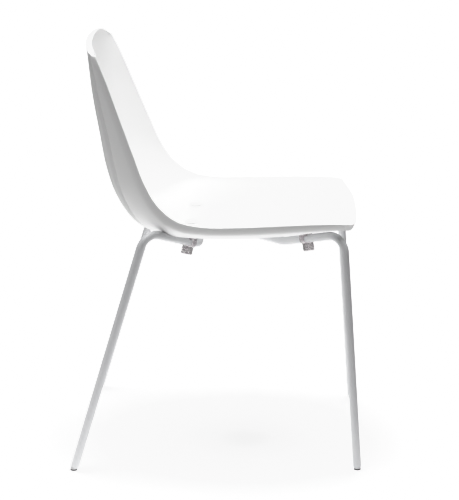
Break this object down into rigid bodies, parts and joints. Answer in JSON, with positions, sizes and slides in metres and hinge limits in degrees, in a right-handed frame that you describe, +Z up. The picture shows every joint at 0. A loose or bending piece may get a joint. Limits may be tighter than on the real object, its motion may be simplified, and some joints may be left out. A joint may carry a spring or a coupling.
{
  "type": "stacking chair",
  "caption": "Stacking chair with a one-piece moulded bucket seat on a splayed frame of two bent round tubes, with clear stacking clips and floor glides.",
  "frame": {"origin": "on the floor under the middle of the chair's footprint", "axes": "+Z up, the seat faces -Y, +X is the sitter's left"},
  "size_m": [0.516, 0.5542, 0.8015],
  "materials": {
    "shell_plastic": "white moulded polypropylene, fine satin texture",
    "powder_coat": "white powder coat on steel tube, semi-gloss with a very fine orange-peel texture",
    "clear_clip": "clear polycarbonate with a faint cool tint",
    "glide_plastic": "pale grey moulded nylon",
    "sole_rubber": "black rubber",
    "zinc_steel": "bright zinc-plated steel",
    "brass_insert": "machined brass"
  },
  "bodies": {
    "root": {"seat_shell": "shell_plastic", "rear_leg_tube": "powder_coat", "front_leg_tube": "powder_coat", "mounting_bar_left": "powder_coat", "mounting_bar_right": "powder_coat", "insert_front_left": "brass_insert", "insert_front_right": "brass_insert", "insert_rear_left": "brass_insert", "insert_rear_right": "brass_insert", "screw_front_left": "zinc_steel", "screw_front_right": "zinc_steel", "screw_rear_left": "zinc_steel", "screw_rear_right": "zinc_steel", "washer_front_left": "zinc_steel", "washer_front_right": "zinc_steel", "washer_rear_left": "zinc_steel", "washer_rear_right": "zinc_steel", "clip_front_left": "clear_clip", "clip_front_right": "clear_clip", "clip_rear_left": "clear_clip", "clip_rear_right": "clear_clip", "glide_front_left": "glide_plastic", "glide_front_right": "glide_plastic", "glide_rear_left": "glide_plastic", "glide_rear_right": "glide_plastic", "sole_front_left": "sole_rubber", "sole_front_right": "sole_rubber", "sole_rear_left": "sole_rubber", "sole_rear_right": "sole_rubber"}
  },
  "joints": []
}
